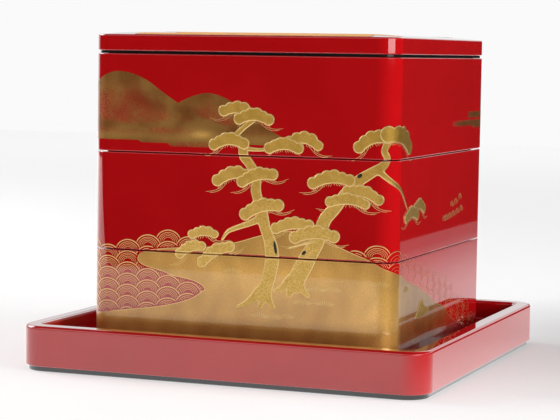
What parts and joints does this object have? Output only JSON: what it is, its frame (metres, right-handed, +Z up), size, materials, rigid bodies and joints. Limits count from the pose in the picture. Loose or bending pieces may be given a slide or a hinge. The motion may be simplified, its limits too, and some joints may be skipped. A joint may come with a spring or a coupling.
{
  "type": "stacking lacquer food box on tray",
  "caption": "Square stacking food box: lidded tiers that nest on inner lips and stand on a low footed tray, in red lacquer with a raised gold landscape.",
  "frame": {"origin": "centre of the tray's base, on the table", "axes": "+Z up out of the lid; +X to the right and +Y to the back, as seen facing the front of the box"},
  "size_m": [0.26, 0.26, 0.2074],
  "materials": {
    "red_lacquer": "polished vermilion lacquer over wood",
    "black_lacquer": "polished black lacquer over wood",
    "gold_picture": "gold powder laid in raised lacquer, satin"
  },
  "bodies": {
    "tray": {"tray_front_wall": "red_lacquer", "tray_right_wall": "red_lacquer", "tray_back_wall": "red_lacquer", "tray_left_wall": "red_lacquer", "tray_floor": "red_lacquer", "tray_front_foot": "black_lacquer", "tray_right_foot": "black_lacquer", "tray_back_foot": "black_lacquer", "tray_left_foot": "black_lacquer"},
    "bottom_tier": {"bottom_front_wall": "red_lacquer", "bottom_right_wall": "red_lacquer", "bottom_back_wall": "red_lacquer", "bottom_left_wall": "red_lacquer", "bottom_floor": "black_lacquer", "bottom_front_lip": "black_lacquer", "bottom_right_lip": "black_lacquer", "bottom_back_lip": "black_lacquer", "bottom_left_lip": "black_lacquer"},
    "middle_tier": {"middle_front_wall": "red_lacquer", "middle_right_wall": "red_lacquer", "middle_back_wall": "red_lacquer", "middle_left_wall": "red_lacquer", "middle_floor": "black_lacquer", "middle_front_lip": "black_lacquer", "middle_right_lip": "black_lacquer", "middle_back_lip": "black_lacquer", "middle_left_lip": "black_lacquer"},
    "top_tier": {"top_front_wall": "red_lacquer", "top_right_wall": "red_lacquer", "top_back_wall": "red_lacquer", "top_left_wall": "red_lacquer", "top_floor": "black_lacquer", "top_front_lip": "black_lacquer", "top_right_lip": "black_lacquer", "top_back_lip": "black_lacquer", "top_left_lip": "black_lacquer"},
    "lid": {"lid_front_rail": "red_lacquer", "lid_right_rail": "red_lacquer", "lid_back_rail": "red_lacquer", "lid_left_rail": "red_lacquer", "lid_top": "red_lacquer"}
  },
  "joints": [
    {"name": "bottom_tier_lift", "type": "slide", "parent": "tray", "child": "bottom_tier", "axis": [0, 0, 1], "range_m": [0, 0.12]},
    {"name": "middle_tier_lift", "type": "slide", "parent": "bottom_tier", "child": "middle_tier", "axis": [0, 0, 1], "range_m": [0, 0.12]},
    {"name": "top_tier_lift", "type": "slide", "parent": "middle_tier", "child": "top_tier", "axis": [0, 0, 1], "range_m": [0, 0.12]},
    {"name": "lid_lift", "type": "slide", "parent": "top_tier", "child": "lid", "axis": [0, 0, 1], "range_m": [0, 0.12]}
  ]
}
